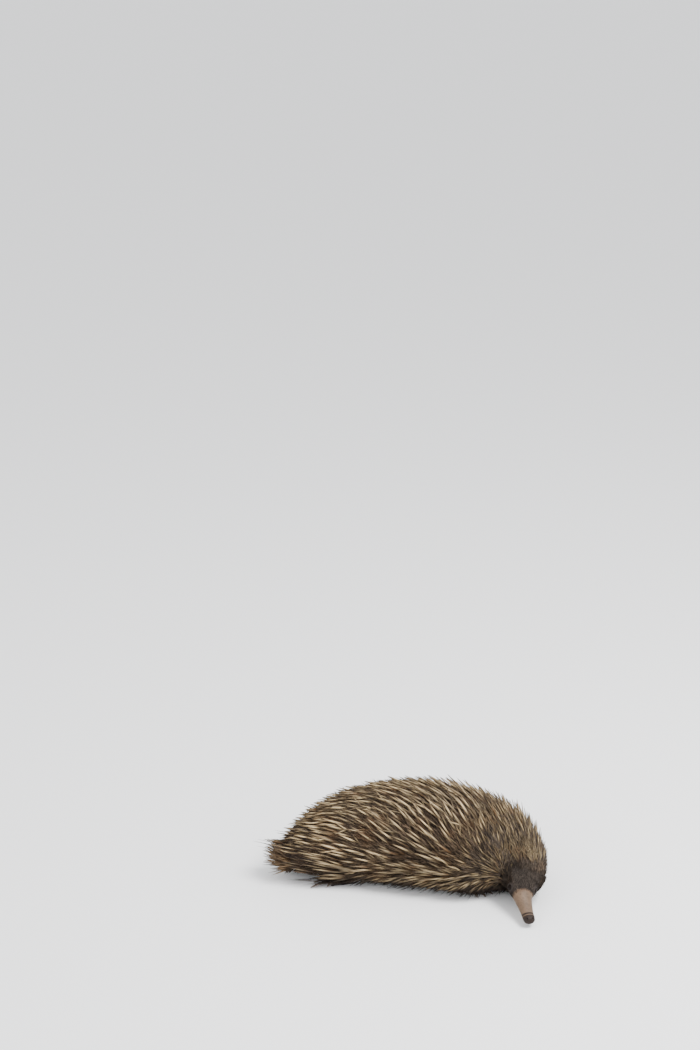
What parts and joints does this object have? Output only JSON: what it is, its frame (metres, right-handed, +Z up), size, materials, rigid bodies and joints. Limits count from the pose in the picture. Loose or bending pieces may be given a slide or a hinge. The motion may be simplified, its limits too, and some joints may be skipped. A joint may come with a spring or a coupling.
{
  "type": "echidna",
  "caption": "Life-size standing museum model of a short-beaked echidna, crouched low on flat feet with its trunk curved, its spines laid back and its beak held just over the ground.",
  "frame": {"origin": "centre of the bounding box in plan, on the ground the feet stand on", "axes": "+X forwards along the middle of the trunk, +Y to the animal's left, +Z up"},
  "size_m": [0.356, 0.2548, 0.1178],
  "materials": {
    "spines": "dark brown fur under straw-coloured spines with dark tips",
    "fur": "short dark brown fur",
    "bill": "bare pinkish grey skin, darker at the tip",
    "eye": "wet black",
    "claw": "worn dark horn"
  },
  "bodies": {
    "root": {"beak": "bill", "claw_front_left_1": "claw", "claw_front_left_2": "claw", "claw_front_left_3": "claw", "claw_front_left_4": "claw", "claw_front_left_5": "claw", "claw_front_right_1": "claw", "claw_front_right_2": "claw", "claw_front_right_3": "claw", "claw_front_right_4": "claw", "claw_front_right_5": "claw", "claw_rear_left_1": "claw", "claw_rear_left_2": "claw", "claw_rear_left_3": "claw", "claw_rear_left_4": "claw", "claw_rear_left_5": "claw", "claw_rear_right_1": "claw", "claw_rear_right_2": "claw", "claw_rear_right_3": "claw", "claw_rear_right_4": "claw", "claw_rear_right_5": "claw", "ear_left": "fur", "ear_right": "fur", "eye_left": "eye", "eye_right": "eye", "head": "fur", "leg_front_left": "fur", "leg_front_right": "fur", "leg_rear_left": "fur", "leg_rear_right": "fur", "neck": "spines", "tail": "spines", "torso": "spines"}
  },
  "joints": []
}
